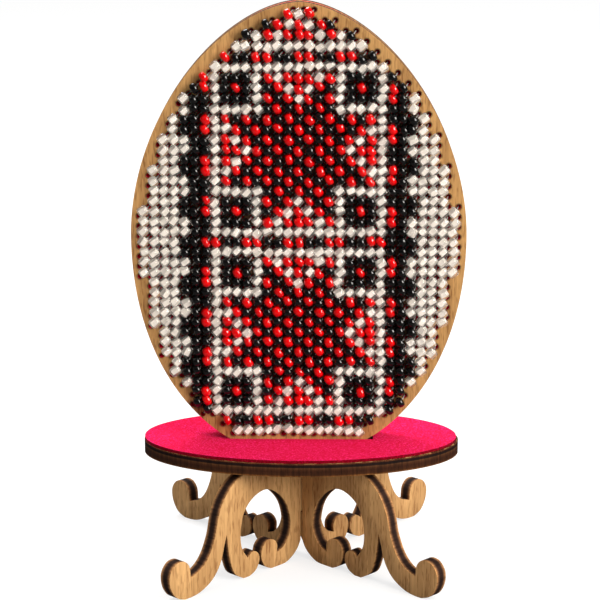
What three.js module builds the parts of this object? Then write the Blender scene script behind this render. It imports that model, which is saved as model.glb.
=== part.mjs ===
// A beaded pysanka: a flat plywood egg, its face sewn all over with glass seed beads, which stands
// upright in the slot of a small felt-covered oval plate on two crossed, scroll-footed leg frames.
//
// Millimetres, +Z up. The origin is on the surface the feet stand on, below the middle of the egg.
// The beaded face looks along -Y.

import * as THREE from "three";

// ---------------------------------------------------------------- driving dimensions

const PLY = 3.2; // thickness of every laser-cut plywood piece
const FELT = 0.85; // thickness of the felt glued on the plate
const LINER = 0.6; // felt between the egg's two panels, pressed thinner by the glue-up
const LINER_INSET = 0.3; // how far the liner stays back from the panels' edge
const LAID_GAP = 0.05; // clearance between flat pieces laid on each other
const FIT_GAP = 0.3; // clearance round a tab, in a slot and at the half-lap
const SLOT_CLEARANCE = 0.1; // on each side of the egg's thickness in the plate's slot

const EGG_HALF_WIDTH = 40.8;
const EGG_WIDEST_Z = 83.2;
const EGG_RISE = 56.6; // from the widest level up to the tip
const EGG_DROP = 56.2; // from the widest level down to where the curve would close
const EGG_TIP_POWER = [1.88, 0.59]; // outline above the widest level: W * (1 - u^a)^b
const EGG_BASE_POWER = [2.1, 0.49]; // and below it
const EGG_STEPS = 40; // outline points on each side, above and below the widest level

const BEAD_PITCH = 2.5; // spacing of the sewing holes, and so of the beads, both ways
const BEAD_ROW_HEIGHT = 2.2;
const BEAD_ROW_DEPTH = 2.7; // a bead's diameter: it lies on the panel with its hole along it
const BEAD_CHAMFER = 0.6; // taken off a row's long edges
const BEAD_CLEARANCE = 0.15; // between a row and the panel it is sewn to
const TOP_ROW_Z = 136.8;

// Beads on each side of the middle one, row by row from the tip of the egg to its base.
const ROW_REACH = [1, 3, 5, 6, 7, 8, 9, 10, 11, 11, 12, 12, 13, 13, 13]
  .concat(new Array(4).fill(14), new Array(7).fill(15), new Array(5).fill(14))
  .concat(new Array(3).fill(13), [12, 12, 11, 10, 10, 9, 7, 6]);

const LEG_HEIGHT = 27.35; // from the surface to the leg frames' top edge
const PLATE_HALF = [39.2, 21.5]; // half length along X, half width along Y
const FELT_HALF = [38.9, 21.25];
const FELT_SHIFT_X = -0.2; // the felt is glued on a little off centre
const PLATE_STEPS = 128;
const SLOT_HALF_LENGTH = 17.9;

const LAP_Z = 12.15; // level where the two leg frames meet in the half-lap
const TAB_REACH = [11, 17]; // where the glued tabs stand on a frame's top edge, from its middle
const LEG_TURN = Math.PI / 4;
const FRAMES_TWIST = 1.6 * Math.PI / 180; // both frames are glued on turned a little, from above
const CURVE_STEPS = 5; // points between two named points of a scroll

const PLATE_Z = LEG_HEIGHT + FIT_GAP;
const EGG_BASE_Z = PLATE_Z; // the egg stands on the crossed frames, inside the slot
const EGG_HALF_DEPTH = PLY + LAID_GAP + LINER / 2;
const SLOT_HALF_WIDTH = EGG_HALF_DEPTH + SLOT_CLEARANCE;
const STAND_SHIFT_X = 0.6; // the egg leans against the left end of its slot, so the stand sits right

// ---------------------------------------------------------------- finishes

function finish(color, roughness) {
  return new THREE.MeshStandardMaterial({ color, roughness, metalness: 0 });
}

const PLYWOOD = finish(0xc99a5f, 0.65);
const CRIMSON_FELT = finish(0xe8084f, 0.95);
const BEADS = finish(0xb01018, 0.15);

// ---------------------------------------------------------------- helpers

// A plate cut from sheet: the shape is drawn in X and Y and has its lower face at z = 0.
function sheet(shape, thickness) {
  return new THREE.ExtrudeGeometry(shape, { depth: thickness, bevelEnabled: false });
}

// A sheet stood upright: the shape is drawn in X and Z, and the sheet's near face is at y = frontY.
function uprightSheet(shape, frontY, thickness) {
  const geometry = sheet(shape, thickness);
  geometry.rotateX(Math.PI / 2);
  geometry.translate(0, frontY + thickness, 0);
  return geometry;
}

function named(name, geometry, material) {
  const mesh = new THREE.Mesh(geometry, material);
  mesh.name = name;
  return mesh;
}

function ellipse(halfX, halfY, shiftX) {
  const shape = new THREE.Shape();
  shape.absellipse(shiftX, 0, halfX, halfY, 0, 2 * Math.PI, false, 0);
  return new THREE.Shape(shape.getPoints(PLATE_STEPS).slice(0, -1));
}

function rectangle(centreX, centreY, halfLength, halfWidth, turn) {
  const corners = [[-1, -1], [1, -1], [1, 1], [-1, 1]].map(([u, v]) =>
    new THREE.Vector2(centreX + u * halfLength, centreY + v * halfWidth)
      .rotateAround(new THREE.Vector2(0, 0), turn));
  return new THREE.Path(corners);
}

// ---------------------------------------------------------------- the egg

function eggHalfWidth(z) {
  const above = z > EGG_WIDEST_Z;
  const [a, b] = above ? EGG_TIP_POWER : EGG_BASE_POWER;
  const u = Math.abs(z - EGG_WIDEST_Z) / (above ? EGG_RISE : EGG_DROP);
  return EGG_HALF_WIDTH * Math.pow(Math.max(0, 1 - Math.pow(u, a)), b);
}

// The egg's outline with its flat base at baseZ, drawn inwards by inset for the felt. Equal steps of
// a turning angle put the points closest together at the tip, where the curve is tightest.
function eggShape(inset, baseZ) {
  const baseAngle = Math.asin((EGG_WIDEST_Z - baseZ) / EGG_DROP);
  const levels = [];
  for (let i = EGG_STEPS; i > 0; i -= 1) {
    levels.push(EGG_WIDEST_Z - EGG_DROP * Math.sin((i / EGG_STEPS) * baseAngle));
  }
  for (let i = 0; i < EGG_STEPS; i += 1) {
    levels.push(EGG_WIDEST_Z + EGG_RISE * Math.sin((i / EGG_STEPS) * Math.PI / 2));
  }
  const shrink = 1 - inset / EGG_HALF_WIDTH;
  const right = levels.map((z) => new THREE.Vector2(eggHalfWidth(z) * shrink, z));
  const tip = new THREE.Vector2(0, EGG_WIDEST_Z + EGG_RISE - inset);
  const left = right.map((p) => new THREE.Vector2(-p.x, p.y)).reverse();
  return new THREE.Shape([...right, tip, ...left]);
}

function eggFrontPanel() {
  return named("egg_front_panel",
    uprightSheet(eggShape(0, EGG_BASE_Z), -EGG_HALF_DEPTH, PLY), PLYWOOD);
}

function eggFeltLiner() {
  return named("egg_felt_liner",
    uprightSheet(eggShape(LINER_INSET, EGG_BASE_Z + FELT), -LINER / 2, LINER), CRIMSON_FELT);
}

function eggBackPanel() {
  return named("egg_back_panel",
    uprightSheet(eggShape(0, EGG_BASE_Z), EGG_HALF_DEPTH - PLY, PLY), PLYWOOD);
}

// One sewn row of beads, as a bar with chamfered long edges.
function beadRow(index) {
  const high = BEAD_ROW_HEIGHT / 2;
  const deep = BEAD_ROW_DEPTH / 2;
  const cut = BEAD_CHAMFER;
  const section = new THREE.Shape([
    [cut - high, -deep], [high - cut, -deep], [high, cut - deep], [high, deep - cut],
    [high - cut, deep], [cut - high, deep], [-high, deep - cut], [-high, cut - deep],
  ].map(([x, y]) => new THREE.Vector2(x, y)));
  const length = 2 * (ROW_REACH[index] * BEAD_PITCH + high);
  const geometry = sheet(section, length);
  geometry.translate(0, 0, -length / 2);
  geometry.rotateY(Math.PI / 2);
  const rowName = "bead_row_" + String(index + 1).padStart(2, "0");
  const mesh = named(rowName, geometry, BEADS);
  mesh.position.set(0, -EGG_HALF_DEPTH - BEAD_CLEARANCE - deep, TOP_ROW_Z - index * BEAD_PITCH);
  return mesh;
}

function egg() {
  const group = new THREE.Group();
  group.add(eggFrontPanel(), eggFeltLiner(), eggBackPanel());
  for (let index = 0; index < ROW_REACH.length; index += 1) {
    group.add(beadRow(index));
  }
  return group;
}

// ---------------------------------------------------------------- the plate

function plateBoard() {
  const shape = ellipse(...PLATE_HALF, 0);
  const tabMiddle = (TAB_REACH[0] + TAB_REACH[1]) / 2;
  const tabHalf = (TAB_REACH[1] - TAB_REACH[0]) / 2 + FIT_GAP;
  shape.holes.push(rectangle(0, 0, SLOT_HALF_LENGTH, SLOT_HALF_WIDTH, 0));
  [1, 3, 5, 7].forEach((eighth) =>
    shape.holes.push(rectangle(tabMiddle, 0, tabHalf, PLY / 2 + FIT_GAP,
      eighth * LEG_TURN + FRAMES_TWIST)));
  const mesh = named("plate_board", sheet(shape, PLY), PLYWOOD);
  mesh.position.z = PLATE_Z;
  return mesh;
}

function plateFelt() {
  const shape = ellipse(...FELT_HALF, FELT_SHIFT_X);
  shape.holes.push(rectangle(0, 0, SLOT_HALF_LENGTH, SLOT_HALF_WIDTH, 0));
  const mesh = named("plate_felt", sheet(shape, FELT), CRIMSON_FELT);
  mesh.position.z = PLATE_Z + PLY + LAID_GAP;
  return mesh;
}

// ---------------------------------------------------------------- the leg frames

// Half of a leg frame's outline, from the end of its top edge round every scroll to the middle of
// its lower edge. Each run is one smooth curve, and the runs meet in the corners and at the short
// flats that stand on the surface.
const SCROLL_RUNS = [
  [[19.5, LEG_HEIGHT], [24.6, 25.6], [28.2, 22.2], [30.3, 18], [31.5, 13.2], [33.6, 8.8], [36.3, 6.2],
    [39.7, 5]], // shoulder and outer sweep down to the foot
  [[39.7, 5], [40.1, 8], [41.9, 9.7], [44.6, 9.5], [46.4, 7.2], [46.2, 4], [44.4, 1.2],
    [41.6, 0]], // curled toe of the foot
  [[39.6, 0], [36.6, 0.5], [33.2, 2.1], [30.9, 4.3], [29.4, 7], [28.5, 10.2],
    [27.6, 12.9]], // sole of the foot, up into the slit
  [[27.6, 12.9], [27.25, 10], [26.6, 6], [25, 2], [22, 0]], // back of the middle scroll
  [[19.9, 0], [17.7, 1.1], [16.5, 3.4], [17.1, 5.4], [18.8, 6.1], [20.6, 5]], // its curled head
  [[20.6, 5], [22.6, 8.2], [22.9, 12.4], [21.7, 17], [18.6, 20], [14.3, 21.1], [10.2, 19.3], [6.9, 15.5],
    [5.5, 10.5], [6.2, 6.9], [8.1, 4.6], [10.4, 3.7]], // the open arch
  [[10.4, 3.7], [10.3, 5.8], [11.5, 7.3], [13.6, 7.6], [15.3, 6.3], [15.8, 3.8], [14.6, 1.2],
    [12.4, 0]], // curled head of the centre scroll
  [[9.7, 0], [7, 0.2], [4.6, 1.4], [2.9, 3], [FIT_GAP + PLY / 2, 4.8]], // its back, up to the half-lap
];
// Where the two centre scrolls meet, on the frame that is left whole below.
const UNDERSIDE_MIDDLE = [[0.95, 6.1], [0, 6.6]];

function scrollOutline() {
  return SCROLL_RUNS.flatMap((run) => {
    const curve = new THREE.SplineCurve(run.map(([x, y]) => new THREE.Vector2(x, y)));
    return curve.getPoints((run.length - 1) * CURVE_STEPS);
  });
}

function withoutRepeats(points) {
  return points.filter((p, i) => i === 0 || p.distanceTo(points[i - 1]) > 1e-3);
}

// The outline of a whole frame. cutAbove puts the half-lap's slot into the top edge, and otherwise
// it comes up from the lower edge.
function legFrameShape(cutAbove) {
  const slot = PLY / 2 + FIT_GAP;
  const tabTop = LEG_HEIGHT + PLY;
  const [tabStart, tabEnd] = TAB_REACH;
  const start = cutAbove
    ? [[slot, LAP_Z - FIT_GAP / 2], [slot, LEG_HEIGHT]]
    : [];
  const tab = [[tabStart, LEG_HEIGHT], [tabStart, tabTop], [tabEnd, tabTop], [tabEnd, LEG_HEIGHT]];
  const end = cutAbove ? UNDERSIDE_MIDDLE : [[slot, LAP_Z + FIT_GAP / 2]];
  const toVectors = (list) => list.map(([x, y]) => new THREE.Vector2(x, y));
  const right = withoutRepeats(
    [...toVectors(start), ...toVectors(tab), ...scrollOutline(), ...toVectors(end)]);
  const left = right.map((p) => new THREE.Vector2(-p.x, p.y)).reverse();
  return new THREE.Shape(withoutRepeats([...right, ...left]));
}

function legFrame(name, cutAbove, turn) {
  const mesh = named(name, uprightSheet(legFrameShape(cutAbove), -PLY / 2, PLY), PLYWOOD);
  mesh.rotation.z = turn;
  return mesh;
}

function stand() {
  const group = new THREE.Group();
  group.add(plateBoard(), plateFelt());
  group.add(legFrame("leg_frame_cut_below", false, FRAMES_TWIST + LEG_TURN));
  group.add(legFrame("leg_frame_cut_above", true, FRAMES_TWIST - LEG_TURN));
  group.position.x = STAND_SHIFT_X;
  return group;
}

// ---------------------------------------------------------------- the whole object

const pysanka = new THREE.Group();
pysanka.add(stand(), egg());

export default pysanka;
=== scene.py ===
# %% [markdown]
# # A beaded pysanka egg on its stand
#
# The real object is a souvenir that is sewn and glued together from laser-cut plywood. A flat egg of
# two panels has a thousand glass seed beads sewn to its face, one stitch to a bead, and stands in the
# slot of an oval plate covered with crimson felt. Two crossed frames with scrolled feet carry the
# plate. This lesson builds every piece around the CAD frame, so each piece takes its place and size
# from the CAD nodes.

import math
import random

import bmesh
import bpy
from mathutils import Matrix, Vector, noise


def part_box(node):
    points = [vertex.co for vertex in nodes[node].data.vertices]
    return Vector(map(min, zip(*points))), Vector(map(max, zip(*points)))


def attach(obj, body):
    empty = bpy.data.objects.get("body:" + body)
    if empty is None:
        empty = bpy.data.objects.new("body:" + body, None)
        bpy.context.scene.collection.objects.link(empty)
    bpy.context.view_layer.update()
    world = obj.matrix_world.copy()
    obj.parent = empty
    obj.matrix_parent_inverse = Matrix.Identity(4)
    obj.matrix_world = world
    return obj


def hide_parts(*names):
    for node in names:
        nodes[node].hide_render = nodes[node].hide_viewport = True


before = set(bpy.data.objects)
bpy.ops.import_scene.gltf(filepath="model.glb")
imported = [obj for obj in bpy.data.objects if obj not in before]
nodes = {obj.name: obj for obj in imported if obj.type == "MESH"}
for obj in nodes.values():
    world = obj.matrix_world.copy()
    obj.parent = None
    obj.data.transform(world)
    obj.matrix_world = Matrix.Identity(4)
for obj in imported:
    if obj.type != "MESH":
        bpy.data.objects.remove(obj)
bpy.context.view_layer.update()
MM = 0.001
print("CAD pieces:", len(nodes))

# %% [markdown]
# ## Small helpers
#
# A material is a tree of nodes, and most of its code would be about making a node, setting it and
# linking it. The helper below does all three in one call: an input that is given another node's
# output is linked, and anything else is set as a plain value.


# %% Node helpers
def add(tree, kind, inputs=None, **settings):
    """A new shader node. inputs maps a socket's name or number to a value or to another node's output."""
    made = tree.nodes.new("ShaderNode" + kind)
    for name, value in settings.items():
        setattr(made, name, value)
    for key, value in (inputs or {}).items():
        if isinstance(value, bpy.types.NodeSocket):
            tree.links.new(value, made.inputs[key])
        else:
            made.inputs[key].default_value = value
    return made


def ramp(tree, factor, stops):
    """A colour ramp's output. stops is a list of (position, colour)."""
    made = add(tree, "ValToRGB", {"Fac": factor})
    elements = made.color_ramp.elements
    while len(elements) > len(stops):
        elements.remove(elements[-1])
    while len(elements) < len(stops):
        elements.new(1.0)
    for element, (position, colour) in zip(elements, stops):
        element.position = position
        element.color = (*colour, 1.0)
    return made.outputs["Color"]


def mix(tree, factor, a, b, blend="MIX"):
    """The colour output of a Mix node. a and b are colours or sockets."""
    made = add(tree, "Mix", data_type="RGBA", blend_type=blend)
    for socket, value in ((made.inputs[0], factor), (made.inputs[6], a), (made.inputs[7], b)):
        if isinstance(value, bpy.types.NodeSocket):
            tree.links.new(value, socket)
        elif socket.type == "RGBA":
            socket.default_value = (*value, 1.0)
        else:
            socket.default_value = value
    return made.outputs[2]


def maths(tree, operation, *values):
    """The output of a Math node."""
    return add(tree, "Math", dict(enumerate(values)), operation=operation).outputs[0]


def material_with_shader(name, **settings):
    """A material with a Principled shader. settings are the shader's plain values."""
    material = bpy.data.materials.new(name)
    material.use_nodes = True
    shader = material.node_tree.nodes["Principled BSDF"]
    for socket, value in settings.items():
        shader.inputs[socket.replace("_", " ")].default_value = value
    return material, material.node_tree, shader


def group_with_sockets(name, inputs, outputs):
    """A shader node group with its input and output nodes. inputs and outputs map a name to a kind."""
    group = bpy.data.node_groups.new(name, "ShaderNodeTree")
    for way, sockets in (("INPUT", inputs), ("OUTPUT", outputs)):
        for socket, kind in sockets.items():
            group.interface.new_socket(socket, in_out=way, socket_type="NodeSocket" + kind)
    return group, group.nodes.new("NodeGroupInput"), group.nodes.new("NodeGroupOutput")


# %% [markdown]
# A finished piece is one mesh object at the origin, unturned and unscaled. It rides on a CAD body
# and stands for the CAD nodes that it replaces.
#
# A CAD node arrives as loose triangles. A copy of it is merged and its flat faces are made whole
# again, because a bevel needs to find the real rims and not the triangles' sides.

# %% Piece helpers
WELD_GAP = 0.004 * MM
FLAT_ANGLE = math.radians(0.5)


def mesh_from_cad(name):
    """A bmesh of a CAD node with its loose triangles joined and its flat faces made whole."""
    bm = bmesh.new()
    bm.from_mesh(nodes[name].data)
    bmesh.ops.remove_doubles(bm, verts=bm.verts, dist=WELD_GAP)
    bmesh.ops.dissolve_limit(bm, angle_limit=FLAT_ANGLE, verts=bm.verts, edges=bm.edges)
    return bm


def finish_piece(bm, name, body, materials, replaced=()):
    """Turns a bmesh into a piece that rides on body and stands for the replaced CAD nodes."""
    mesh = bpy.data.meshes.new(name)
    bm.to_mesh(mesh)
    bm.free()
    for material in materials:
        mesh.materials.append(material)
    piece = bpy.data.objects.new(name, mesh)
    bpy.context.scene.collection.objects.link(piece)
    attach(piece, body)
    if replaced:
        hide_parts(*replaced)
    print(name, len(mesh.polygons), "faces")
    return piece


def smooth_but_corners(bm, corner_degrees=40):
    """Smooth shading everywhere except across edges that turn more than corner_degrees."""
    corner = math.radians(corner_degrees)
    for face in bm.faces:
        face.smooth = True
    for edge in bm.edges:
        edge.smooth = len(edge.link_faces) == 2 and edge.calc_face_angle(0) < corner


# %% [markdown]
# ## Camera and light
#
# The egg is looked at from the front and a little above, through a long lens, so the plate is a
# narrow oval and the frames' scrolled ends spread below it.

# %% Camera
CAMERA_PLACE = Vector((6.6, -509.2, 190.5)) * MM
LOOKING_DOWN = 13.70
CAMERA_PITCH = math.radians(90 - LOOKING_DOWN)
CAMERA_YAW = math.radians(0.71)
LENS_MM = 127.6
SENSOR_MM = 36
NEAREST_SEEN = 10 * MM

camera_data = bpy.data.cameras.new("camera")
camera_data.lens = LENS_MM
camera_data.sensor_width = SENSOR_MM
camera_data.clip_start = NEAREST_SEEN
camera = bpy.data.objects.new("camera", camera_data)
camera.location = CAMERA_PLACE
camera.rotation_euler = (CAMERA_PITCH, 0, CAMERA_YAW)
bpy.context.scene.collection.objects.link(camera)
bpy.context.scene.camera = camera
bpy.context.scene.view_settings.view_transform = "Standard"
print("lens", LENS_MM, "mm, looking down", LOOKING_DOWN, "degrees")

# %% [markdown]
# A big soft lamp stands at the front right. It puts the highlight on the upper right of every bead,
# and leaves the frame faces that look left in shade. A second one hangs above and behind, and lights
# the plate's felt and the frames' upper edges.

# %% Lamps
AIM = Vector((0, 0, 75)) * MM


def area_lamp(name, place, width, height, power, colour):
    """A soft lamp at place, in metres, which looks at the middle of the egg."""
    data = bpy.data.lights.new(name, "AREA")
    data.shape = "RECTANGLE"
    data.size = width
    data.size_y = height
    data.energy = power
    data.color = colour
    lamp = bpy.data.objects.new(name, data)
    lamp.location = place
    lamp.rotation_euler = (AIM - lamp.location).to_track_quat("-Z", "Y").to_euler()
    bpy.context.scene.collection.objects.link(lamp)
    print(name, "is", round((AIM - lamp.location).length, 2), "m from the egg")


area_lamp("key_lamp", (0.57, -0.52, 0.45), 0.37, 0.64, 8.6, (1.0, 0.96, 0.90))
area_lamp("top_lamp", (-0.15, 0.45, 0.75), 0.50, 0.50, 6.0, (1.0, 1.0, 1.0))

# %% [markdown]
# The sky is white overhead and behind, and dimmer in front, as in a studio with white boards round
# three sides. It is plain white wherever it is seen directly. Polished glass mirrors less of it, so
# the black beads stay black.

# %% Sky
SKY_FRONT, SKY_BACK = 0.13, 0.95
BRIGHTER_UP, BRIGHTER_BEHIND = 0.8, 0.6
GLOSS_DIMMING = 0.88

world = bpy.data.worlds.new("studio")
world.use_nodes = True
bpy.context.scene.world = world
sky_tree = world.node_tree
sky = sky_tree.nodes["Background"]
sky.inputs["Color"].default_value = (1.0, 1.0, 1.0, 1.0)
way = add(sky_tree, "SeparateXYZ", {0: add(sky_tree, "TexCoord").outputs["Generated"]})
rise = maths(sky_tree, "ADD", maths(sky_tree, "MULTIPLY", way.outputs["Z"], BRIGHTER_UP),
             maths(sky_tree, "MULTIPLY", way.outputs["Y"], BRIGHTER_BEHIND))
glow = add(sky_tree, "MapRange", {"Value": rise, "From Min": -0.5, "From Max": 0.7,
                                  "To Min": SKY_FRONT, "To Max": SKY_BACK}).outputs[0]
ray = add(sky_tree, "LightPath")
dimming = maths(sky_tree, "MULTIPLY", ray.outputs["Is Glossy Ray"], GLOSS_DIMMING)
glow = maths(sky_tree, "MULTIPLY", glow, maths(sky_tree, "SUBTRACT", 1.0, dimming))
glow = maths(sky_tree, "MAXIMUM", glow, ray.outputs["Is Camera Ray"])
sky_tree.links.new(glow, sky.inputs["Strength"])
print("the sky glows", SKY_FRONT, "in front and", SKY_BACK, "behind")

# %% [markdown]
# ## Plywood
#
# The plywood has three layers: a thin veneer, a thick core whose grain runs across, and a second
# veneer. The laser leaves the cut edge dark brown, darkest on the core. The plate is burnt deep. The
# egg's and the frames' veneers stayed golden on both sides of a black core.
#
# Both finishes are worked out from Object coordinates, so every piece shows its own stretch of wood.
# The grain and the layers are node groups, because the egg, the plate and the frames all use them.
#
# The veneer's face has broad bands, fine fibres and short dark pores, all drawn out along the trunk.
# A painted texture could show that, but it would blur close up. Three noises stretched along one
# direction stay sharp at any distance, and are added up to one darkness.

# %% Wood grain group
FIBRE_STRETCH, PORE_STRETCH = 0.045, 0.16
BAND_SHARE, FIBRE_SHARE, PORE_SHARE = 0.42, 0.46, 0.32


def build_grain_group():
    """Long fibres along the vector's Z, short dark pores, and broad light and dark bands."""
    group, source, sink = group_with_sockets(
        "wood_grain",
        {"Vector": "Vector", "Light": "Color", "Dark": "Color"},
        {"Color": "Color", "Height": "Float"})
    vector = source.outputs["Vector"]
    stretched = add(group, "Mapping", {"Vector": vector, "Scale": (1.0, 1.0, FIBRE_STRETCH)}).outputs[0]
    pore_space = add(group, "Mapping", {"Vector": vector, "Scale": (1.0, 1.0, PORE_STRETCH)}).outputs[0]
    bands = add(group, "TexNoise", {"Vector": stretched, "Scale": 190.0, "Detail": 3.0,
                                    "Distortion": 0.6}).outputs["Fac"]
    fibres = add(group, "TexNoise", {"Vector": stretched, "Scale": 1000.0, "Detail": 4.0,
                                     "Roughness": 0.65}).outputs["Fac"]
    pores = add(group, "TexNoise", {"Vector": pore_space, "Scale": 2200.0, "Detail": 1.5}).outputs["Fac"]
    pore_mask = add(group, "MapRange", {"Value": pores, "From Min": 0.53, "From Max": 0.66}).outputs[0]
    broad = add(group, "MapRange", {"Value": bands, "From Min": 0.30, "From Max": 0.72}).outputs[0]
    fine = add(group, "MapRange", {"Value": fibres, "From Min": 0.30, "From Max": 0.75}).outputs[0]
    darkness = maths(group, "ADD", maths(group, "MULTIPLY", broad, BAND_SHARE),
                     maths(group, "MULTIPLY", fine, FIBRE_SHARE))
    darkness = maths(group, "ADD", darkness, maths(group, "MULTIPLY", pore_mask, PORE_SHARE))
    colour = mix(group, maths(group, "MINIMUM", darkness, 1.0), source.outputs["Light"],
                 source.outputs["Dark"])
    height = maths(group, "SUBTRACT", 1.0, maths(group, "MULTIPLY", darkness, 0.8))
    group.links.new(colour, sink.inputs["Color"])
    group.links.new(height, sink.inputs["Height"])
    return group


grain_group = build_grain_group()
print(grain_group.name, "has", len(grain_group.nodes), "nodes")

# %% [markdown]
# On a cut edge the layers lie as stripes along the sheet, and the smoke streaks run across them. So a
# colour ramp is read across the thickness, from one face to the other. A slow noise makes the stripes
# wander a little, and a fast one, stretched across them, adds the streaks.

# %% Ply layers group
LAYER_WANDER = 0.16


def build_layers_group(name, stops):
    """A laser-cut plywood edge. The vector's Y runs across the sheet, with 0 in its middle, and stops
    gives the colours from one face to the other."""
    group, source, sink = group_with_sockets(
        name,
        {"Vector": "Vector", "Half thickness": "Float"},
        {"Color": "Color", "Height": "Float"})
    vector = source.outputs["Vector"]
    wobble = add(group, "TexNoise", {"Vector": vector, "Scale": 260.0, "Detail": 2.0}).outputs["Fac"]
    across = add(group, "SeparateXYZ", {"Vector": vector}).outputs["Y"]
    level = maths(group, "DIVIDE", across, source.outputs["Half thickness"])
    wander = maths(group, "MULTIPLY", maths(group, "SUBTRACT", wobble, 0.5), LAYER_WANDER)
    level = maths(group, "ADD", level, wander)
    shown = maths(group, "ADD", maths(group, "MULTIPLY", level, 0.5), 0.5)
    layers = ramp(group, shown, stops)
    streak_space = add(group, "Mapping", {"Vector": vector, "Scale": (1.0, 0.12, 1.0)}).outputs[0]
    streaks = add(group, "TexNoise", {"Vector": streak_space, "Scale": 1300.0, "Detail": 3.0,
                                      "Roughness": 0.7}).outputs["Fac"]
    shade = add(group, "MapRange", {"Value": streaks, "From Min": 0.25, "From Max": 0.75,
                                    "To Min": 0.35, "To Max": 1.65}).outputs[0]
    shade_colour = add(group, "CombineColor", {"Red": shade, "Green": shade, "Blue": shade}).outputs[0]
    group.links.new(mix(group, 1.0, layers, shade_colour, "MULTIPLY"), sink.inputs["Color"])
    group.links.new(streaks, sink.inputs["Height"])
    print(name, "has", len(group.nodes), "nodes")
    return group


deep_burn_group = build_layers_group("ply_layers_deep_burn", [
    (0.00, (0.24, 0.095, 0.024)), (0.08, (0.11, 0.038, 0.011)), (0.14, (0.050, 0.016, 0.005)),
    (0.40, (0.038, 0.011, 0.004)), (0.58, (0.056, 0.018, 0.006)), (0.68, (0.080, 0.030, 0.010)),
    (0.74, (0.012, 0.004, 0.003)), (0.90, (0.012, 0.004, 0.003)), (0.97, (0.090, 0.026, 0.009)),
    (1.00, (0.13, 0.040, 0.013))])
light_burn_group = build_layers_group("ply_layers_light_burn", [
    (0.00, (0.56, 0.28, 0.098)), (0.08, (0.38, 0.175, 0.064)), (0.17, (0.19, 0.088, 0.038)),
    (0.27, (0.065, 0.029, 0.015)), (0.38, (0.027, 0.012, 0.008)), (0.64, (0.027, 0.012, 0.008)),
    (0.75, (0.080, 0.036, 0.018)), (0.86, (0.28, 0.130, 0.055)), (1.00, (0.56, 0.28, 0.098))])

# %% [markdown]
# The egg and the plate were cut from a browner sheet than the golden leg frames, so the same grain gets
# two pairs of shades, a light and a dark one each. Round the egg's sewing holes the veneer is painted
# darker. Between the beads this is painted shade, where the beads' shade falls, and round the margin
# holes it is partly the laser's smoke stain. The front panel's points carry that darkening as a number
# from 0 to 1.

# %% Veneer and burnt edge materials
BROWN_VENEER = ((0.68, 0.380, 0.137, 1.0), (0.19, 0.072, 0.018, 1.0))
GOLDEN_VENEER = ((0.80, 0.465, 0.190, 1.0), (0.27, 0.110, 0.032, 1.0))
# The veneer round the sewing holes is darkened towards this colour: painted shade between the beads, and
# laser smoke round the margin holes.
SMOKE_AND_SHADE_COLOUR = (0.030, 0.009, 0.005)
SMOKE_AND_SHADE_STRENGTH = 0.92


def veneer(name, shades, turn=(0, 0, 0), smoke_and_shade=False):
    """Sanded veneer in a light and a dark shade, whose grain runs along Z once the piece's coordinates
    are turned. When asked to, it paints the veneer darker where the piece's darkening attribute is near 1:
    painted shade between the beads, and laser smoke round the margin holes."""
    material, tree, shader = material_with_shader(name, Roughness=0.65, Specular_IOR_Level=0.20)
    place = add(tree, "Mapping", {"Vector": add(tree, "TexCoord").outputs["Object"], "Rotation": turn})
    grain = add(tree, "Group", node_tree=grain_group)
    grain.inputs["Light"].default_value, grain.inputs["Dark"].default_value = shades
    tree.links.new(place.outputs[0], grain.inputs["Vector"])
    colour = grain.outputs["Color"]
    if smoke_and_shade:
        # Painted shade: this attribute darkens the veneer between the beads, where their shade falls, and
        # round the margin holes, where laser smoke stains it too.
        scorch_and_shade = add(tree, "Attribute", attribute_name="scorch_and_shade").outputs["Fac"]
        stain_and_shade = add(tree, "MapRange", {"Value": scorch_and_shade, "From Min": 0.25, "From Max": 0.95}).outputs[0]
        colour = mix(tree, maths(tree, "MULTIPLY", stain_and_shade, SMOKE_AND_SHADE_STRENGTH), colour, SMOKE_AND_SHADE_COLOUR)
    tree.links.new(colour, shader.inputs["Base Color"])
    bump = add(tree, "Bump", {"Height": grain.outputs["Height"], "Strength": 0.35, "Distance": 0.00012})
    tree.links.new(bump.outputs[0], shader.inputs["Normal"])
    return material


def burnt_edge(name, burn_group, half_thickness, middle=(0, 0, 0), turn=(0, 0, 0)):
    """The cut edge of a sheet that is centred on middle and turned so that Y runs across it."""
    material, tree, shader = material_with_shader(name, Roughness=0.75, Specular_IOR_Level=0.12)
    place = add(tree, "Mapping", {"Vector": add(tree, "TexCoord").outputs["Object"],
                                  "Location": middle, "Rotation": turn}, vector_type="TEXTURE")
    layers = add(tree, "Group", node_tree=burn_group)
    layers.inputs["Half thickness"].default_value = half_thickness
    tree.links.new(place.outputs[0], layers.inputs["Vector"])
    tree.links.new(layers.outputs["Color"], shader.inputs["Base Color"])
    bump = add(tree, "Bump", {"Height": layers.outputs["Height"], "Strength": 0.5, "Distance": 0.00015})
    tree.links.new(bump.outputs[0], shader.inputs["Normal"])
    return material


egg_low, egg_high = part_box("egg_front_panel")
PANEL_THICKNESS = egg_high.y - egg_low.y
PANEL_FRONT = egg_low.y
print("plywood is", round(PANEL_THICKNESS / MM, 2), "mm thick")

# %% [markdown]
# The needle draws crimson fibres out of the felt into the sewing holes. Their walls are burnt at the
# panel's front and turn crimson a little way in. A noise makes that change ragged, as fibres are.

# %% Sewing hole material
BURNT_WALL, FIBRE_CRIMSON = (0.045, 0.013, 0.008), (0.90, 0.001, 0.045)
FIBRES_START, FIBRES_FULL = -0.1 * MM, 0.5 * MM
FIBRES_RAGGED = 1.5 * MM


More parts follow.
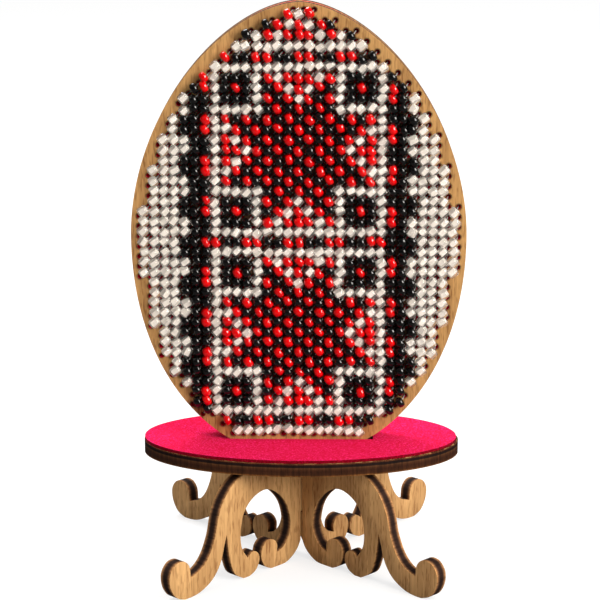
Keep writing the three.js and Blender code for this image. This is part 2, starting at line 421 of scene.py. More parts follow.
def fibre_lined_hole(front):
    """The wall of a sewing hole through a panel whose face lies at y = front."""
    material, tree, shader = material_with_shader("sewing_hole", Roughness=0.9, Specular_IOR_Level=0.04)
    place = add(tree, "TexCoord").outputs["Object"]
    clumps = add(tree, "TexNoise", {"Vector": place, "Scale": 900.0, "Detail": 2.0}).outputs["Fac"]
    ragged = maths(tree, "MULTIPLY", maths(tree, "SUBTRACT", clumps, 0.5), FIBRES_RAGGED)
    depth = maths(tree, "ADD", add(tree, "SeparateXYZ", {0: place}).outputs["Y"], ragged)
    lined = add(tree, "MapRange", {"Value": depth, "From Min": front + FIBRES_START,
                                   "From Max": front + FIBRES_FULL}).outputs[0]
    tree.links.new(mix(tree, lined, BURNT_WALL, FIBRE_CRIMSON), shader.inputs["Base Color"])
    return material


# %% [markdown]
# ## Felt
#
# Pressed felt is a mat of very fine fibres. The plate's felt is glued down flat, and shows as a
# crimson speckled with paler fibre ends. A second, thinner sheet between the egg's two panels shows
# red through the sewing holes.
#
# Real fibres would take millions of faces, so the mat is a fine noise that mixes a deep and a pale
# crimson and drives the bump. A second noise bends the first one, which turns round specks into
# curled ends, and a slow third one makes the felt paler in some places.

# %% Felt material
FIBRE_CURL = 0.0012


def build_felt(name, deep, pale):
    """Felt: a deep colour with paler fibre ends, rough, with a soft sheen."""
    material, tree, shader = material_with_shader(
        name, Roughness=0.95, Specular_IOR_Level=0.04, Sheen_Weight=0.06, Sheen_Roughness=0.5,
        Sheen_Tint=(1.0, 0.30, 0.50, 1.0))
    place = add(tree, "TexCoord").outputs["Object"]
    drift = add(tree, "TexNoise", {"Vector": place, "Scale": 900.0, "Detail": 3.0}).outputs["Color"]
    curl = add(tree, "VectorMath", {0: drift, "Scale": FIBRE_CURL}, operation="SCALE").outputs[0]
    bent = add(tree, "VectorMath", {0: place, 1: curl}).outputs[0]
    fibres = add(tree, "TexNoise", {"Vector": bent, "Scale": 2300.0, "Detail": 3.0,
                                    "Roughness": 0.7}).outputs["Fac"]
    clouds = add(tree, "TexNoise", {"Vector": place, "Scale": 120.0, "Detail": 3.0}).outputs["Fac"]
    ends = add(tree, "MapRange", {"Value": fibres, "From Min": 0.50, "From Max": 0.62}).outputs[0]
    worn = add(tree, "MapRange", {"Value": clouds, "From Min": 0.35, "From Max": 0.75,
                                  "To Min": 0.75, "To Max": 1.15}).outputs[0]
    tree.links.new(mix(tree, maths(tree, "MULTIPLY", ends, worn), deep, pale), shader.inputs["Base Color"])
    bump = add(tree, "Bump", {"Height": fibres, "Strength": 0.6, "Distance": 0.0003})
    tree.links.new(bump.outputs[0], shader.inputs["Normal"])
    print(name, "has", len(tree.nodes), "nodes")
    return material


plate_felt_look = build_felt("crimson_felt", (0.74, 0.0002, 0.042), (1.0, 0.024, 0.21))
# The felt's cut edge is the same felt painted about five times darker: partly a melted cut edge, partly
# painted shade on the side that faces the front.
shaded_felt_edge_look = build_felt("crimson_felt_cut_edge", (0.16, 0.0006, 0.005), (0.34, 0.002, 0.02))
liner_felt_look = build_felt("crimson_liner_felt", (0.90, 0.001, 0.040), (1.0, 0.03, 0.12))

# %% [markdown]
# ## The beads
#
# Each bead is a short piece of drawn glass tube with melted, rounded ends. Red and black ones are
# opaque. The white ones are clear glass round a square hole that is lined with white, and the glass
# magnifies the lining.
#
# A bead could be a squashed sphere, but its flat ends and its hole show from the side. So its profile
# is drawn as a few points and spun about the hole's axis. Every bead is a copy of one of three small
# meshes, which keeps a thousand of them light.

# %% Bead size
BEAD_RADIUS = 1.38 * MM
BEAD_HALF_LENGTH = 0.95 * MM
print("a bead is", round(2 * BEAD_RADIUS / MM, 2), "mm across and",
      round(2 * BEAD_HALF_LENGTH / MM, 2), "mm long")

# %% [markdown]
# Opaque glass needs only a strong plain colour under a hard polish. No two rods of glass are quite the
# same shade, so each bead carries a number, its tone, and the colour moves with it between two shades.


# %% Opaque glass
def opaque_glass(name, colour, deeper, roughness, specular):
    """Opaque bead glass. Each bead's own tone moves its colour between two shades."""
    material, tree, shader = material_with_shader(name, Roughness=roughness, Specular_IOR_Level=specular)
    tone = add(tree, "Attribute", attribute_name="bead_tone").outputs["Fac"]
    swirl = add(tree, "TexNoise", {"Vector": add(tree, "TexCoord").outputs["Object"], "Scale": 1400.0,
                                   "Detail": 2.0}).outputs["Fac"]
    blend = maths(tree, "MULTIPLY", tone, add(tree, "MapRange", {
        "Value": swirl, "From Min": 0.3, "From Max": 0.7, "To Min": 0.7, "To Max": 1.0}).outputs[0])
    tree.links.new(mix(tree, blend, colour, deeper), shader.inputs["Base Color"])
    bump = add(tree, "Bump", {"Height": swirl, "Strength": 0.05, "Distance": 0.0001})
    tree.links.new(bump.outputs[0], shader.inputs["Normal"])
    return material


# %% [markdown]
# Clear glass refracts what is behind it, so it shows its white lining, and the crimson at its edges.
# Shadow rays go straight through it. Otherwise the lining would sit in the glass's own shadow and look
# grey, because light that bends through glass rarely finds the lamp.


# %% Clear glass and its lining
def clear_glass():
    """Clear bead glass with the faint streaks of drawn tube. It lets lamp light through to its lining."""
    material, tree, shader = material_with_shader(
        "clear_bead_glass", Roughness=0.02, IOR=1.5, Transmission_Weight=0.92)
    place = add(tree, "TexCoord").outputs["Object"]
    streaks = add(tree, "TexNoise", {"Vector": place, "Scale": 1100.0, "Detail": 1.0}).outputs["Fac"]
    tint = mix(tree, streaks, (0.99, 0.96, 0.94), (0.93, 0.88, 0.86))
    tree.links.new(tint, shader.inputs["Base Color"])
    bump = add(tree, "Bump", {"Height": streaks, "Strength": 0.12, "Distance": 0.0001})
    tree.links.new(bump.outputs[0], shader.inputs["Normal"])
    through = add(tree, "BsdfTransparent")
    shadow = add(tree, "LightPath").outputs["Is Shadow Ray"]
    both = add(tree, "MixShader", {0: shadow, 1: shader.outputs[0], 2: through.outputs[0]})
    tree.links.new(both.outputs[0], tree.nodes["Material Output"].inputs["Surface"])
    return material


def white_lining():
    """The white lining of a clear bead's square hole."""
    material, tree, shader = material_with_shader("bead_lining", Roughness=0.30)
    place = add(tree, "TexCoord").outputs["Object"]
    patches = add(tree, "TexNoise", {"Vector": place, "Scale": 1600.0, "Detail": 3.0}).outputs["Fac"]
    tone = add(tree, "Attribute", attribute_name="bead_tone").outputs["Fac"]
    colour = mix(tree, maths(tree, "MULTIPLY", patches, tone), (0.86, 0.82, 0.75), (0.64, 0.59, 0.53))
    tree.links.new(colour, shader.inputs["Base Color"])
    bump = add(tree, "Bump", {"Height": patches, "Strength": 0.2, "Distance": 0.0001})
    tree.links.new(bump.outputs[0], shader.inputs["Normal"])
    return material


# %% [markdown]
# Beads like these are sewn on with a smooth, half-clear nylon thread. It is so thin that it is seen
# mostly by its glint, so it gets a grey colour and a strong polish.


# %% Thread material
def sewing_thread():
    """Glossy nylon thread with a twist along it."""
    material, tree, shader = material_with_shader("nylon_thread", Roughness=0.12, Specular_IOR_Level=1.0)
    place = add(tree, "TexCoord").outputs["Object"]
    twist = add(tree, "TexWave", {"Vector": place, "Scale": 900.0, "Distortion": 1.0}).outputs["Fac"]
    tree.links.new(mix(tree, twist, (0.40, 0.39, 0.38), (0.26, 0.25, 0.24)), shader.inputs["Base Color"])
    return material


# %% [markdown]
# Every row of beads carries the same five looks, in this order. A face picks its look by number, so the
# numbers get names.

# %% Looks of a row
BEAD_LOOKS = [
    opaque_glass("red_bead_glass", (0.84, 0.0006, 0.0015), (0.62, 0.0004, 0.0016), 0.05, 1.0),
    opaque_glass("black_bead_glass", (0.0016, 0.0014, 0.0015), (0.0045, 0.0040, 0.0040), 0.13, 0.70),
    clear_glass(),
    white_lining(),
    sewing_thread(),
]
RED, BLACK, CLEAR, LINING, THREAD = range(len(BEAD_LOOKS))
print("bead looks:", ", ".join(look.name for look in BEAD_LOOKS))

# %% [markdown]
# A bead's profile is drawn for its upper half, from the hole to the widest level, and mirrored below.
# An opaque bead's profile is closed along its hole. The clear one's begins and ends on the axis,
# because the lining fills its hole. Twelve steps of the spin look round at a bead's size.

# %% Bead shapes
BEAD_STEPS = 12
ROUND_PROFILE = [(0.30, 0.86), (0.62, 0.92), (0.93, 0.66), (1.0, 0.0)]
TUBE_PROFILE = [(0.0, 0.95), (0.70, 1.0), (0.95, 0.72), (1.0, 0.0)]
SEAM_GAP = 0.001 * MM
LINING_HALF_SIDE = 0.50 * MM
LINING_HALF_LENGTH = 0.64 * BEAD_HALF_LENGTH


def spun_bead(profile, material, closed_hole):
    """A bead round the Z axis. profile holds (radius, height) from the hole to the widest level, as
    shares of the bead's radius and half length, and is mirrored for the other half."""
    bm = bmesh.new()
    half = [(r * BEAD_RADIUS, h * BEAD_HALF_LENGTH) for r, h in profile]
    points = half + [(r, -h) for r, h in reversed(half[:-1])]
    verts = [bm.verts.new((r, 0, h)) for r, h in points]
    edges = [bm.edges.new(pair) for pair in zip(verts, verts[1:])]
    if not closed_hole:
        edges.append(bm.edges.new((verts[-1], verts[0])))
    bmesh.ops.spin(bm, geom=verts + edges, axis=(0, 0, 1), cent=(0, 0, 0), steps=BEAD_STEPS,
                   angle=2 * math.pi, use_merge=True)
    bmesh.ops.remove_doubles(bm, verts=bm.verts, dist=SEAM_GAP)
    bmesh.ops.recalc_face_normals(bm, faces=bm.faces)
    for face in bm.faces:
        face.smooth = True
        face.material_index = material
    return bm


def add_lining(bm):
    """The square lining through a clear bead."""
    size = Matrix.Diagonal((LINING_HALF_SIDE, LINING_HALF_SIDE, LINING_HALF_LENGTH, 1))
    before = set(bm.faces)
    bmesh.ops.create_cube(bm, size=2, matrix=size)
    for face in set(bm.faces) - before:
        face.material_index = LINING


def as_template(bm, name):
    """A small mesh that other pieces take copies of."""
    mesh = bpy.data.meshes.new(name)
    bm.to_mesh(mesh)
    bm.free()
    print(name, "has", len(mesh.polygons), "faces")
    return mesh


def bead_templates():
    """One small mesh for each colour of bead, with its hole along Z."""
    clear = spun_bead(TUBE_PROFILE, CLEAR, True)
    add_lining(clear)
    return {
        RED: as_template(spun_bead(ROUND_PROFILE, RED, False), "red_bead"),
        BLACK: as_template(spun_bead(ROUND_PROFILE, BLACK, False), "black_bead"),
        CLEAR: as_template(clear, "clear_bead"),
    }


beads = bead_templates()

# %% [markdown]
# The thread comes out of the bead's hole and bends back into the panel at the cell's corner. At the
# bead's other end it is pulled tight and slips under the bead. Only these two bends are seen. Each is
# a thin tube: a ring of points is drawn at every place along the bend, square to the way on, and each
# ring is bridged to the one before. The places are in millimetres from the bead's middle.

# %% Thread shape
THREAD_RADIUS = 0.15 * MM
THREAD_SIDES = 6
STITCH_OUT = [(0.35, 0.0, 0.24), (0.70, 0.10, 0.50), (0.82, 0.50, 0.64), (0.98, 1.10, 0.82),
              (1.25, 2.80, 1.0)]
STITCH_IN = [(-0.20, 0.3, -0.14), (-0.45, 0.75, -0.50), (-0.85, 1.25, -1.15), (-1.25, 2.80, -1.50)]


def thread_template():
    """Both visible ends of one stitch, round a bead at the origin."""
    bm = bmesh.new()
    for bend in (STITCH_OUT, STITCH_IN):
        ring = None
        places = [Vector(p) * MM for p in bend]
        for here, ahead in zip(places, places[1:] + [places[-1] * 2 - places[-2]]):
            aim = (ahead - here).to_track_quat("Z", "Y").to_matrix().to_4x4()
            made = bmesh.ops.create_circle(bm, segments=THREAD_SIDES, radius=THREAD_RADIUS,
                                           matrix=Matrix.Translation(here) @ aim)["verts"]
            loop = list({edge for v in made for edge in v.link_edges})
            if ring:
                bmesh.ops.bridge_loops(bm, edges=ring + loop)
            ring = loop
    open_edges = [edge for edge in bm.edges if edge.is_boundary]
    bmesh.ops.holes_fill(bm, edges=open_edges, sides=THREAD_SIDES)
    bmesh.ops.recalc_face_normals(bm, faces=bm.faces)
    for face in bm.faces:
        face.smooth = True
        face.material_index = THREAD
    return as_template(bm, "stitch")


stitch = thread_template()

# %% [markdown]
# ## The pattern
#
# The pattern is counted, as in cross-stitch. Column 0 is the egg's middle, and row 0 is the row at
# its tip. Medallions repeat every 18 rows down the middle: a chequered red and black field, clear
# triangles filled with red on its four sides, and a black square in each corner. A band of pairs
# parts them. A red and black column, a black one and a stepped one run down each side, and clear
# beads fill the rest.

# %% Pattern rules
MEDALLION_ROWS = (-5, 13, 31, 49)
MEDALLION_REACH = 8
BAND_ROWS = (4, 22, 40)
CORNER = 4
CORNER_MIDDLE = 6
SIDE_COLUMN, BLACK_COLUMN, STEPPED_COLUMN = 9, 10, 11
MIDDLE_ROW = 22


def medallion_bead(a, d):
    """The colour a columns and d rows from a medallion's middle."""
    if a == MEDALLION_REACH or d == MEDALLION_REACH:
        return CLEAR
    if a >= CORNER and d >= CORNER:
        if CORNER in (a, d):
            return CLEAR
        return RED if (a, d) == (CORNER_MIDDLE, CORNER_MIDDLE) else BLACK
    step = abs(a - d)
    if step >= CORNER + 1:
        return CLEAR if step == CORNER + 1 else RED
    return RED if (a + d) % 2 == 0 else BLACK


def bead_colour(column, row):
    """The colour of one bead of the pattern."""
    a = abs(column)
    if row == MIDDLE_ROW and a <= STEPPED_COLUMN:
        pair = column % 4 in (0, 3)
        return RED if pair and -SIDE_COLUMN <= column <= MEDALLION_REACH else BLACK
    if a <= MEDALLION_REACH:
        if row in BAND_ROWS:
            return RED if column % 4 in (0, 1) else BLACK
        return medallion_bead(a, min(abs(row - middle) for middle in MEDALLION_ROWS))
    if a == SIDE_COLUMN:
        reds = (0, 3) if column < 0 else (2, 3)
        return RED if abs(row - MIDDLE_ROW) % 4 in reds else BLACK
    if a == BLACK_COLUMN or (a == STEPPED_COLUMN and row % 4 in (2, 3)):
        return BLACK
    return CLEAR


for sample_row in (MIDDLE_ROW - 2, MIDDLE_ROW - 1, MIDDLE_ROW):
    print("row", sample_row, "".join("RB."[bead_colour(column, sample_row)] for column in range(-12, 13)))

# %% [markdown]
# ## Sewing the rows
#
# Each CAD row says how many beads it holds and at what height. Its beads and stitches become one
# piece, because sewn beads aren't handled singly.

# %% Rows from the CAD frame
PITCH = 2.5 * MM
ROW_NAMES = sorted(name for name in nodes if name.startswith("bead_row_"))


def row_reach(name):
    """How many beads a row has on each side of its middle one."""
    low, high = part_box(name)
    return round(((high.x - low.x) / PITCH - 1) / 2)


def row_height(name):
    """The height of the middle of a row."""
    low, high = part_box(name)
    return (low.z + high.z) / 2


print(len(ROW_NAMES), "rows,", sum(2 * row_reach(name) + 1 for name in ROW_NAMES), "beads")

# %% [markdown]
# The stitch crosses its cell from corner to corner, so the bead's hole leans to the upper right. Hand
# sewing leaves no two beads alike, so each one is turned, tilted, sized and moved by a little at
# random. Shifts are in millimetres and angles in degrees here, apart from the roll, which is in
# radians. Lengths and girths are shares of the bead's own.

# %% One hand-sewn bead
BEAD_LEAN = {RED: 56, BLACK: 56, CLEAR: 48}
BEAD_LENGTH = {RED: 1.03, BLACK: 1.03, CLEAR: 1.18}
BEAD_GIRTH = {RED: 1.0, BLACK: 1.0, CLEAR: 1.03}
BEAD_RISE = 0.26 * MM
PULLED_FORWARD = -0.05
SHIFT_ACROSS, SHIFT_FORWARD, SHIFT_UP = 0.15, 0.05, 0.18
LEAN_SPREAD, TILT_SPREAD, ROLL_SPREAD = 8, 4, 0.25
LENGTH_SPREAD, GIRTH_SPREAD = 0.07, 0.03


def around(middle, spread):
    """A random number near middle."""
    return random.gauss(middle, spread)


def hand_sewn(colour, sewn):
    """The place, turn and size of one bead that is sewn at a point, as one matrix."""
    shift = Vector((around(0, SHIFT_ACROSS), around(PULLED_FORWARD, SHIFT_FORWARD), around(0, SHIFT_UP)))
    lean = math.radians(around(BEAD_LEAN[colour], LEAN_SPREAD))
    length = BEAD_LENGTH[colour] * around(1, LENGTH_SPREAD)
    girth = BEAD_GIRTH[colour]
    size = Matrix.Diagonal((girth * around(1, GIRTH_SPREAD), girth * around(1, GIRTH_SPREAD), length, 1))
    roll = around(0, ROLL_SPREAD) if colour == CLEAR else random.uniform(0, math.pi)
    tilt = math.radians(around(0, TILT_SPREAD))
    turn = Matrix.Rotation(lean, 4, "Y") @ Matrix.Rotation(tilt, 4, "X") @ Matrix.Rotation(roll, 4, "Z")
    return Matrix.Translation(sewn + shift * MM) @ turn @ size


# %% [markdown]
# The copies of a bead and of its stitch are added to the row's own mesh, and each gets its tone as a
# number on its points. The random numbers start from a fixed seed, which gives the same beads on every
# run.


# %% Sew the rows
def place_copy(row, template, place, tone_layer, tone):
    """Adds a copy of a template to a row, at place."""
    before = len(row.verts)
    row.from_mesh(template)
    row.verts.ensure_lookup_table()
    fresh = row.verts[before:]
    bmesh.ops.transform(row, matrix=place, verts=fresh)
    for vert in fresh:
        vert[tone_layer] = tone


def sew_row(index, name):
    """All the beads of one row, with their stitches."""
    row = bmesh.new()
    tone_layer = row.verts.layers.float.new("bead_tone")
    reach = row_reach(name)
    for column in range(-reach, reach + 1):
        colour = bead_colour(column, index)
        sewn = Vector((column * PITCH, PANEL_FRONT - BEAD_RADIUS, row_height(name) + BEAD_RISE))
        place_copy(row, beads[colour], hand_sewn(colour, sewn), tone_layer, random.random())
        place_copy(row, stitch, Matrix.Translation(sewn), tone_layer, random.random())
    finish_piece(row, name + "_beads", "egg", BEAD_LOOKS, [name])


random.seed(42)
for row_index, row_name in enumerate(ROW_NAMES):
    sew_row(row_index, row_name)
for template in (*beads.values(), stitch):
    bpy.data.meshes.remove(template)

# %% [markdown]
# ## The front panel
#
# The laser cuts a round sewing hole wherever the thread goes through: at the lower left and the upper
# right corner of every bead's cell. Neighbouring cells share a hole. The holes along the margin are
# in plain view. The veneer round them is painted darker, partly for the laser's smoke stain and partly
# as painted shade from the beads.

# %% Where the holes go
def hole_places():
    """Each hole once, as (x, z, whether there are holes on all four sides of it)."""
    corners = set()
    top = row_height(ROW_NAMES[0])
    for index, name in enumerate(ROW_NAMES):
        for column in range(-row_reach(name), row_reach(name) + 1):
            corners.add((column, index + 1))
            corners.add((column + 1, index))
    places = []
    for e, j in sorted(corners):
        surrounded = {(e - 1, j), (e + 1, j), (e, j - 1), (e, j + 1)} <= corners
        places.append(((e - 0.5) * PITCH, top - (j - 0.5) * PITCH, surrounded))
    return places


sewing_holes = hole_places()
print(len(sewing_holes), "sewing holes,", sum(not hole[2] for hole in sewing_holes), "along the margin")

# %% [markdown]
# Cutting a thousand holes with booleans would be slow and messy, so the panel is made the other way
# round. The outline and all the circles are drawn first, the flat face between them is filled with
# triangles, and that face is extruded through the panel's thickness.
#
# A margin hole gets a second, wider circle round it, with a band of faces between the two. The wider
# circle's points carry a darkening of 0 and the hole's own points carry 1, so the darkening fades
# across the band. Between surrounded holes every point carries 1, so the veneer among the beads is
# painted dark all over, as painted shade. The wider circle is kept inside the panel's outline.

# %% Front panel helpers
HOLE_RADIUS = 0.58 * MM
# How far the painted darkening round a margin hole reaches: laser smoke, and painted shade from the beads.
SCORCH_AND_SHADE_RADIUS = 1.22 * MM
RIM_GAP = 0.12 * MM
HOLE_SIDES = 10
LEVEL_GAP = 0.01 * MM
LOOKS_ALONG = 0.9
FACE_LOOK, EDGE_LOOK, HOLE_LOOK = range(3)
QUARTER = math.pi / 2


def distance_to_lines(point, lines):
    """How far a point is from the nearest of some lines, each given by its two ends."""
    nearest = float("inf")
    for start, end in lines:
        along = (end - start).length_squared
        share = min(1.0, max(0.0, (point - start).dot(end - start) / along))
        nearest = min(nearest, (point - start.lerp(end, share)).length)
    return nearest


def outline_only(bm, level):
    """Deletes everything but the rim of the face that lies at y = level."""
    flat = [f for f in bm.faces if abs(f.calc_center_median().y - level) < LEVEL_GAP]
    inside = {e for f in flat for e in f.edges if all(g in flat for g in e.link_faces)}
    rim = {e for f in flat for e in f.edges} - inside
    bmesh.ops.delete(bm, geom=list(set(bm.edges) - rim), context="EDGES_FACES")
    bmesh.ops.delete(bm, geom=bm.faces[:], context="FACES_ONLY")
    bmesh.ops.delete(bm, geom=[v for v in bm.verts if not v.link_edges], context="VERTS")


def looks_along(face, axis):
    """Whether a face belongs to a sheet's two flat sides, and not to its cut walls."""
    return abs(face.normal.dot(axis)) > LOOKS_ALONG


def edge_by_direction(bm, axis):
    """Gives the flat sides of a sheet the first material and its cut walls the second."""
    bm.normal_update()
    for face in bm.faces:
        face.material_index = FACE_LOOK if looks_along(face, axis) else EDGE_LOOK


def upright_circle(bm, middle, radius):
    """The points and the edges of a circle that faces the front."""
    place = Matrix.Translation(middle) @ Matrix.Rotation(QUARTER, 4, "X")
    verts = bmesh.ops.create_circle(bm, segments=HOLE_SIDES, radius=radius, matrix=place)["verts"]
    return verts, list({edge for vert in verts for edge in vert.link_edges})


# %% Front panel
def build_front_panel():
    bm = mesh_from_cad("egg_front_panel")
    outline_only(bm, PANEL_FRONT)
    # Each point's darkening number, read by the veneer: painted shade between the beads, and laser smoke
    # round the margin holes.
    scorch_and_shade = bm.verts.layers.float.new("scorch_and_shade")
    outline = [(edge.verts[0].co.copy(), edge.verts[1].co.copy()) for edge in bm.edges]
    drawn_edges = bm.edges[:]
    for x, z, surrounded in sewing_holes:
        middle = Vector((x, PANEL_FRONT, z))
        rim, rim_edges = upright_circle(bm, middle, HOLE_RADIUS)
        for vert in rim:
            vert[scorch_and_shade] = 1.0
        ring_size = min(SCORCH_AND_SHADE_RADIUS, distance_to_lines(middle, outline) - RIM_GAP)
        if surrounded or ring_size <= HOLE_RADIUS + RIM_GAP:
            drawn_edges += rim_edges
        else:
            ring_edges = upright_circle(bm, middle, ring_size)[1]
            drawn_edges += ring_edges
            bmesh.ops.bridge_loops(bm, edges=rim_edges + ring_edges)
    bmesh.ops.triangle_fill(bm, edges=drawn_edges, use_beauty=True, normal=(0, -1, 0))
    bmesh.ops.recalc_face_normals(bm, faces=bm.faces)
    bm.normal_update()
    if bm.faces[:][0].normal.y > 0:
        bmesh.ops.reverse_faces(bm, faces=bm.faces)
    back = bmesh.ops.extrude_face_region(bm, geom=bm.faces[:])["geom"]
    bmesh.ops.translate(bm, verts=[v for v in back if isinstance(v, bmesh.types.BMVert)],
                        vec=(0, PANEL_THICKNESS, 0))
    bmesh.ops.recalc_face_normals(bm, faces=bm.faces)
    edge_by_direction(bm, Vector((0, 1, 0)))
    for face in bm.faces:
        if face.material_index == EDGE_LOOK and all(vert[scorch_and_shade] == 1.0 for vert in face.verts):
            face.material_index = HOLE_LOOK
    smooth_but_corners(bm)
    looks = [veneer("egg_veneer", BROWN_VENEER, smoke_and_shade=True),
             burnt_edge("egg_front_edge", light_burn_group, PANEL_THICKNESS / 2,
                        (0, PANEL_FRONT + PANEL_THICKNESS / 2, 0)),
             fibre_lined_hole(PANEL_FRONT)]
    finish_piece(bm, "egg_face_panel", "egg", looks, ["egg_front_panel"])


build_front_panel()

# %% [markdown]
# ## The other plywood pieces
#
# The back panel, the plate and the two leg frames already have the right outline in CAD. Each is
# copied, its triangles are joined into whole faces, and its sharp rims get a small bevel, because
# sanding takes the corner off and the light then draws a thin line along it.

# %% Softened sheets
RIM_BEVEL = 0.10 * MM


def softened_sheet(cad_name, axis):
    """A copy of a plywood CAD node with small bevels on the rims between its faces and its walls."""
    bm = mesh_from_cad(cad_name)
    bm.normal_update()
    rims = [e for e in bm.edges if len(e.link_faces) == 2
            and sum(looks_along(face, axis) for face in e.link_faces) == 1]
    bmesh.ops.bevel(bm, geom=rims, offset=RIM_BEVEL, offset_type="OFFSET", affect="EDGES", segments=2,
                    profile=0.5, material=-1, clamp_overlap=True)
    edge_by_direction(bm, axis)
    smooth_but_corners(bm, 30)
    return bm


# %% Back panel
def build_back_panel():
    low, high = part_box("egg_back_panel")
    bm = softened_sheet("egg_back_panel", Vector((0, 1, 0)))
    looks = [veneer("egg_back_veneer", BROWN_VENEER),
             burnt_edge("egg_back_edge", light_burn_group, PANEL_THICKNESS / 2,
                        (0, (low.y + high.y) / 2, 0))]
    finish_piece(bm, "egg_back_cover", "egg", looks, ["egg_back_panel"])


build_back_panel()

# %% [markdown]
# The laser burnt the plate the deepest. A thin dark line runs round its faces as well, so a narrow
# band of each is inset and gets the edge's material.

# %% Plate
BURNT_RIM = 0.40 * MM


def build_plate_board():
    low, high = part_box("plate_board")
    bm = softened_sheet("plate_board", Vector((0, 0, 1)))
    flat = [face for face in bm.faces if face.material_index == FACE_LOOK]
    rim = bmesh.ops.inset_region(bm, faces=flat, thickness=BURNT_RIM, use_boundary=True)["faces"]
    for face in rim:
        face.material_index = EDGE_LOOK
    looks = [veneer("plate_veneer", BROWN_VENEER, (0, QUARTER, 0)),
             burnt_edge("plate_edge", deep_burn_group, PANEL_THICKNESS / 2,
                        (0, 0, (low.z + high.z) / 2), (QUARTER, 0, 0))]
    finish_piece(bm, "plate_oval_board", "stand", looks, ["plate_board"])


build_plate_board()

# %% [markdown]
# The frames cross at a right angle, turned a little against the plate. Their wood and their burnt
# layers are turned with them, so that the grain stays upright and the layers stay in the sheet.

# %% Leg frames
FRAME_TURNS = {"leg_frame_cut_below": 46.6, "leg_frame_cut_above": -43.4}


def build_leg_frame(cad_name, turn):
    low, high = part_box(cad_name)
    axis = Matrix.Rotation(turn, 3, "Z") @ Vector((0, 1, 0))
    bm = softened_sheet(cad_name, axis)
    centre = ((low.x + high.x) / 2, 0, 0)
    looks = [veneer(cad_name + "_veneer", GOLDEN_VENEER, (0, 0, -turn)),
             burnt_edge(cad_name + "_edge", light_burn_group, PANEL_THICKNESS / 2, centre, (0, 0, turn))]
    finish_piece(bm, cad_name + "_scrolls", "stand", looks, [cad_name])


for frame_name, degrees in FRAME_TURNS.items():
    build_leg_frame(frame_name, math.radians(degrees))

# %% [markdown]
# ## The felt pieces
#
# The plate's felt is an oval with a slot. Its outline and the slot are two loops with the same number
# of points, bridged by rings of faces, which then carry the felt's slight waviness. It is laid flat
# and glued, so no cloth simulation is needed. The slot takes its size from the board's, which is
# read from the points of the CAD board near its middle.

# %% Plate felt helpers
FELT_POINTS = 192
FELT_RINGS = 22
NEAR_MIDDLE_X, NEAR_MIDDLE_Y = 20 * MM, 5 * MM
NEARLY_NOTHING = 1e-9
SLOW_WAVE, FAST_WAVE = (260, 0.03), (900, 0.02)
WAVE_ROOM = 0.06 * MM


def slot_reach(direction, half_length, half_width):
    """How far the slot's edge is from its middle, in a direction."""
    along = half_length / max(abs(direction.x), NEARLY_NOTHING)
    over = half_width / max(abs(direction.y), NEARLY_NOTHING)
    return min(along, over)


def board_slot():
    """Half length and half width of the plate's slot, and its middle, from the board's inner walls."""
    bm = mesh_from_cad("plate_board")
    verts = [v.co for v in bm.verts if abs(v.co.x) < NEAR_MIDDLE_X and abs(v.co.y) < NEAR_MIDDLE_Y]
    low_x, high_x = min(v.x for v in verts), max(v.x for v in verts)
    half_width = max(abs(v.y) for v in verts)
    bm.free()
    return (high_x - low_x) / 2, half_width, (low_x + high_x) / 2


def felt_wave(point):
    """How far the felt's top rises or sinks at a point, in millimetres."""
    return sum(noise.noise(point * often) * high for often, high in (SLOW_WAVE, FAST_WAVE))


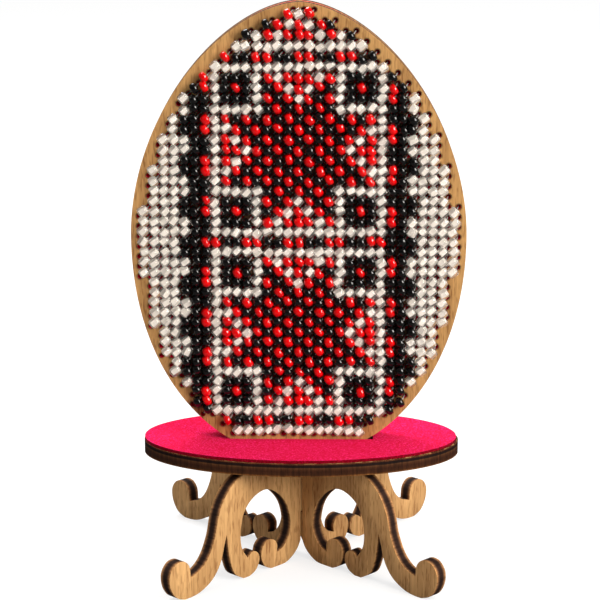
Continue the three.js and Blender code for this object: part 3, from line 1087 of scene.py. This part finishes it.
# %% Plate felt
def build_plate_felt():
    low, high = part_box("plate_felt")
    half_x, half_y = (high.x - low.x) / 2, (high.y - low.y) / 2
    thickness = high.z - low.z
    slot_x, slot_y, slot_middle = board_slot()
    bm = bmesh.new()
    loops = []
    for outer in (True, False):
        made = bmesh.ops.create_circle(bm, segments=FELT_POINTS, radius=1.0)["verts"]
        for vert in made:
            way = Vector((vert.co.x, vert.co.y, 0))
            if outer:
                vert.co = (way.x * half_x + (low.x + high.x) / 2, way.y * half_y, low.z)
            else:
                reach = slot_reach(way, slot_x, slot_y)
                vert.co = (way.x * reach + slot_middle, way.y * reach, low.z)
        loops.append(list({edge for v in made for edge in v.link_edges}))
    bridged = bmesh.ops.bridge_loops(bm, edges=loops[0] + loops[1])
    spokes = [e for e in bridged["edges"] if e not in loops[0] and e not in loops[1]]
    bmesh.ops.subdivide_edges(bm, edges=spokes, cuts=FELT_RINGS, use_grid_fill=True)
    bmesh.ops.recalc_face_normals(bm, faces=bm.faces)
    if bm.faces[:][0].normal.z < 0:
        bmesh.ops.reverse_faces(bm, faces=bm.faces)
    top = bmesh.ops.extrude_face_region(bm, geom=bm.faces[:])["geom"]
    top_verts = [v for v in top if isinstance(v, bmesh.types.BMVert)]
    for vert in top_verts:
        vert.co.z += thickness - WAVE_ROOM + felt_wave(vert.co) * MM
    bmesh.ops.recalc_face_normals(bm, faces=bm.faces)
    edge_by_direction(bm, Vector((0, 0, 1)))
    smooth_but_corners(bm, 50)
    piece = finish_piece(bm, "plate_felt_cover", "stand",
                         [plate_felt_look, shaded_felt_edge_look], ["plate_felt"])
    print("felt", round(2 * half_x / MM, 1), "by", round(2 * half_y / MM, 1), "mm")


build_plate_felt()

# %% [markdown]
# The liner is a plain egg-shaped sheet pressed between the two panels. Only its rim shows, and a little
# of its front through the sewing holes, so its CAD shape is kept as it is.


# %% Egg liner
def build_liner():
    low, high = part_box("egg_felt_liner")
    bm = mesh_from_cad("egg_felt_liner")
    front = [f for f in bm.faces if f.calc_center_median().y < low.y + LEVEL_GAP]
    area = sum(f.calc_area() for f in front)
    smooth_but_corners(bm)
    piece = finish_piece(bm, "egg_felt_lining", "egg",
                         [liner_felt_look], ["egg_felt_liner"])


build_liner()

# %% [markdown]
# ## Floor
#
# A plain pale floor catches a soft shadow. It is staging and no part of the object. It is lit up a
# little where it is seen directly, so that it looks white without throwing much light up into the
# shaded sides of the frames.

# %% Floor
FLOOR_HALF = 4.0
FLOOR_GREY, FLOOR_IN_MIRRORS = (0.32, 0.32, 0.32), (0.07, 0.07, 0.07)
FLOOR_GLOW = 0.72

floor_mesh = bmesh.new()
bmesh.ops.create_grid(floor_mesh, x_segments=1, y_segments=1, size=FLOOR_HALF)
floor_data = bpy.data.meshes.new("floor")
floor_mesh.to_mesh(floor_data)
floor_mesh.free()
floor_look, floor_tree, floor_shader = material_with_shader(
    "pale_floor", Roughness=0.9, Specular_IOR_Level=0.0, Emission_Color=(1.0, 1.0, 1.0, 1.0))
floor_ray = add(floor_tree, "LightPath")
grey = mix(floor_tree, floor_ray.outputs["Is Glossy Ray"], FLOOR_GREY, FLOOR_IN_MIRRORS)
floor_tree.links.new(grey, floor_shader.inputs["Base Color"])
floor_tree.links.new(maths(floor_tree, "MULTIPLY", floor_ray.outputs["Is Camera Ray"], FLOOR_GLOW),
                     floor_shader.inputs["Emission Strength"])
floor_data.materials.append(floor_look)
floor = bpy.data.objects.new("floor", floor_data)
bpy.context.scene.collection.objects.link(floor)
print("the floor is", 2 * FLOOR_HALF, "m wide")
